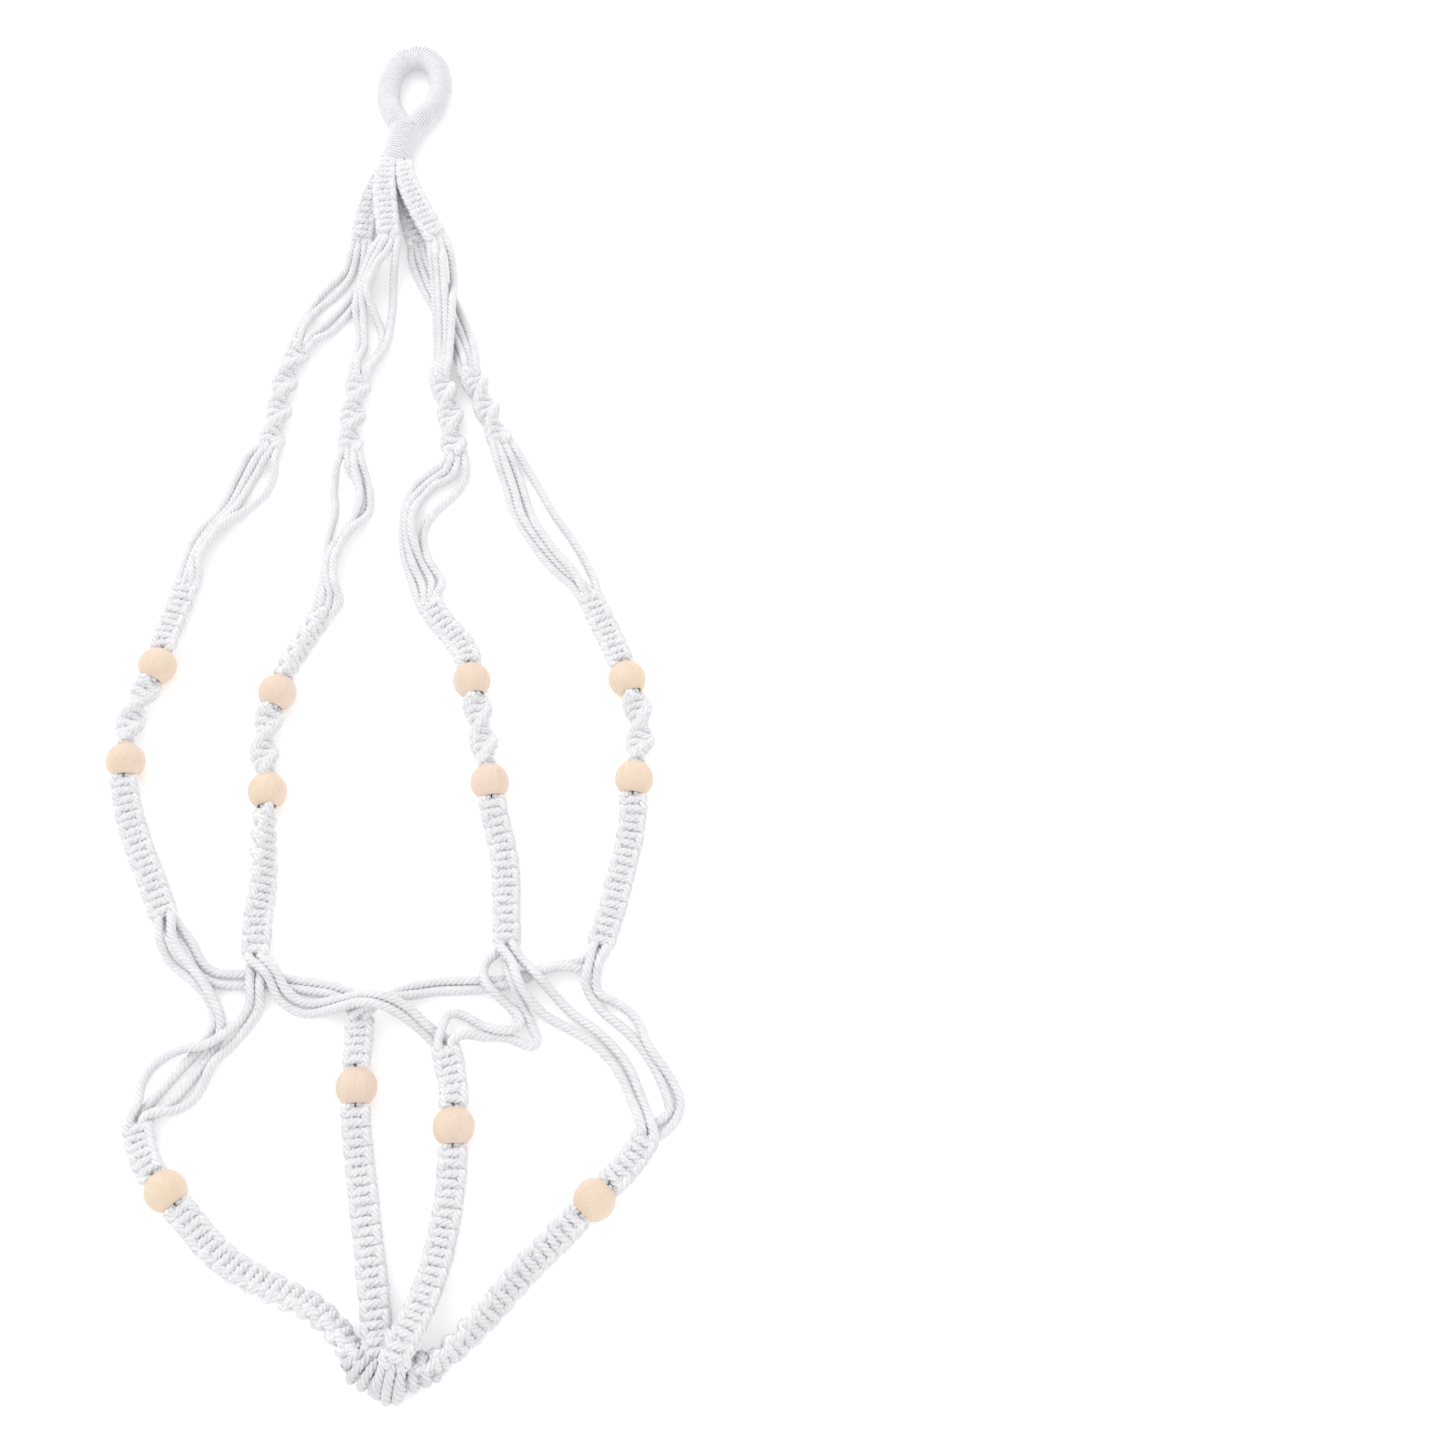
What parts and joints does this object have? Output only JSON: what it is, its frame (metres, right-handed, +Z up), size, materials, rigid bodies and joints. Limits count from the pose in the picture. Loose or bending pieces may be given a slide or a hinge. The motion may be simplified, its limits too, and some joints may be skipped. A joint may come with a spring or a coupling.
{
  "type": "hanging macrame planter",
  "caption": "Flat-laid macrame plant hanger of white cotton cord with a wrapped hanging loop, knotted arms, wooden beads and a knotted basket.",
  "frame": {"origin": "centre of the bounding box's bottom face, on the floor that the planter lies on", "axes": "+Y towards the hanging loop, along the planter; +Z up, away from the floor; +X across it"},
  "size_m": [0.3038, 0.8184, 0.0244],
  "materials": {
    "cord": "twisted cotton, matt",
    "wrap_cord": "fine cotton cord wound side by side, matt",
    "beech": "smooth unvarnished, satin"
  },
  "bodies": {
    "arms": {"shoulder_sinnet_1": "cord", "shoulder_sinnet_2": "cord", "shoulder_sinnet_3": "cord", "shoulder_sinnet_4": "cord", "bead_spiral_1": "cord", "bead_spiral_2": "cord", "bead_spiral_3": "cord", "bead_spiral_4": "cord", "arm_sinnet_1": "cord", "arm_sinnet_2": "cord", "arm_sinnet_3": "cord", "arm_sinnet_4": "cord", "middle_cords_1": "cord", "middle_cords_2": "cord", "middle_cords_3": "cord", "middle_cords_4": "cord", "net_cords_1_to_2": "cord", "net_cords_4_to_2": "cord", "net_cords_1_to_1": "cord", "net_cords_2_to_1": "cord", "net_cords_2_to_3": "cord", "net_cords_3_to_3": "cord", "net_cords_4_to_4": "cord", "net_cords_3_to_4": "cord"},
    "upper": {"upper_spiral_1": "cord", "upper_spiral_2": "cord", "upper_spiral_3": "cord", "upper_spiral_4": "cord", "upper_cords_1": "cord", "upper_cords_2": "cord", "upper_cords_3": "cord", "upper_cords_4": "cord"},
    "crown": {"loop_core": "cord", "loop_wrap": "wrap_cord", "neck_wrap": "wrap_cord", "crown_sinnet_1": "cord", "crown_sinnet_2": "cord", "crown_sinnet_3": "cord", "crown_sinnet_4": "cord"},
    "basket": {"basket_short_1": "cord", "basket_short_2": "cord", "basket_short_3": "cord", "basket_short_4": "cord", "basket_long_1": "cord", "basket_long_2": "cord", "basket_long_3": "cord", "basket_long_4": "cord", "base_knot": "cord"},
    "bead_upper_1_body": {"bead_upper_1": "beech"},
    "bead_upper_2_body": {"bead_upper_2": "beech"},
    "bead_upper_3_body": {"bead_upper_3": "beech"},
    "bead_upper_4_body": {"bead_upper_4": "beech"},
    "bead_lower_1_body": {"bead_lower_1": "beech"},
    "bead_lower_2_body": {"bead_lower_2": "beech"},
    "bead_lower_3_body": {"bead_lower_3": "beech"},
    "bead_lower_4_body": {"bead_lower_4": "beech"},
    "bead_basket_1_body": {"bead_basket_1": "beech"},
    "bead_basket_2_body": {"bead_basket_2": "beech"},
    "bead_basket_3_body": {"bead_basket_3": "beech"},
    "bead_basket_4_body": {"bead_basket_4": "beech"}
  },
  "joints": [
    {"name": "middle_fold", "type": "hinge", "parent": "arms", "child": "upper", "pos_m": [0, 0.05324, 0.012], "axis": [1, 0, 0], "range_deg": [0, 90], "deforming": ["middle_cords_1", "middle_cords_2", "middle_cords_3", "middle_cords_4"]},
    {"name": "upper_fold", "type": "hinge", "parent": "upper", "child": "crown", "pos_m": [0, 0.21124, 0.012], "axis": [1, 0, 0], "range_deg": [0, 90], "deforming": ["upper_cords_1", "upper_cords_2", "upper_cords_3", "upper_cords_4"]},
    {"name": "basket_fold", "type": "hinge", "parent": "arms", "child": "basket", "pos_m": [0, -0.21476, 0.012], "axis": [-1, 0, 0], "range_deg": [0, 90], "deforming": ["net_cords_1_to_2", "net_cords_4_to_2", "net_cords_1_to_1", "net_cords_2_to_1", "net_cords_2_to_3", "net_cords_3_to_3", "net_cords_4_to_4", "net_cords_3_to_4"]},
    {"name": "upper_1_spin", "type": "hinge", "parent": "arms", "child": "bead_upper_1_body", "pos_m": [-0.13299, -0.03876, 0.01], "axis": [-0.249, -0.9685, 0], "continuous": true},
    {"name": "upper_2_spin", "type": "hinge", "parent": "arms", "child": "bead_upper_2_body", "pos_m": [-0.06699, -0.05476, 0.01], "axis": [-0.1878, -0.9822, 0], "continuous": true},
    {"name": "upper_3_spin", "type": "hinge", "parent": "arms", "child": "bead_upper_3_body", "pos_m": [0.03601, -0.04776, 0.01], "axis": [0.2425, -0.9701, 0], "continuous": true},
    {"name": "upper_4_spin", "type": "hinge", "parent": "arms", "child": "bead_upper_4_body", "pos_m": [0.11901, -0.04676, 0.01], "axis": [0.3451, -0.9386, 0], "continuous": true},
    {"name": "lower_1_spin", "type": "hinge", "parent": "arms", "child": "bead_lower_1_body", "pos_m": [-0.14199, -0.09476, 0.01], "axis": [0.1203, -0.9927, 0], "continuous": true},
    {"name": "lower_2_spin", "type": "hinge", "parent": "arms", "child": "bead_lower_2_body", "pos_m": [-0.06599, -0.11176, 0.01], "axis": [0.0879, -0.9961, 0], "continuous": true},
    {"name": "lower_3_spin", "type": "hinge", "parent": "arms", "child": "bead_lower_3_body", "pos_m": [0.04901, -0.10676, 0.01], "axis": [0.1878, -0.9822, 0], "continuous": true},
    {"name": "lower_4_spin", "type": "hinge", "parent": "arms", "child": "bead_lower_4_body", "pos_m": [0.12401, -0.10476, 0.01], "axis": [-0.0587, -0.9983, 0], "continuous": true},
    {"name": "basket_1_spin", "type": "hinge", "parent": "basket", "child": "bead_basket_1_body", "pos_m": [-0.09099, -0.31476, 0.01], "axis": [0.669, -0.7433, 0], "continuous": true},
    {"name": "basket_2_spin", "type": "hinge", "parent": "basket", "child": "bead_basket_2_body", "pos_m": [-0.00599, -0.26576, 0.01], "axis": [0.0755, -0.9971, 0], "continuous": true},
    {"name": "basket_3_spin", "type": "hinge", "parent": "basket", "child": "bead_basket_3_body", "pos_m": [0.04201, -0.28476, 0.01], "axis": [0.0454, -0.999, 0], "continuous": true},
    {"name": "basket_4_spin", "type": "hinge", "parent": "basket", "child": "bead_basket_4_body", "pos_m": [0.11001, -0.31876, 0.01], "axis": [-0.6995, -0.7147, 0], "continuous": true}
  ]
}
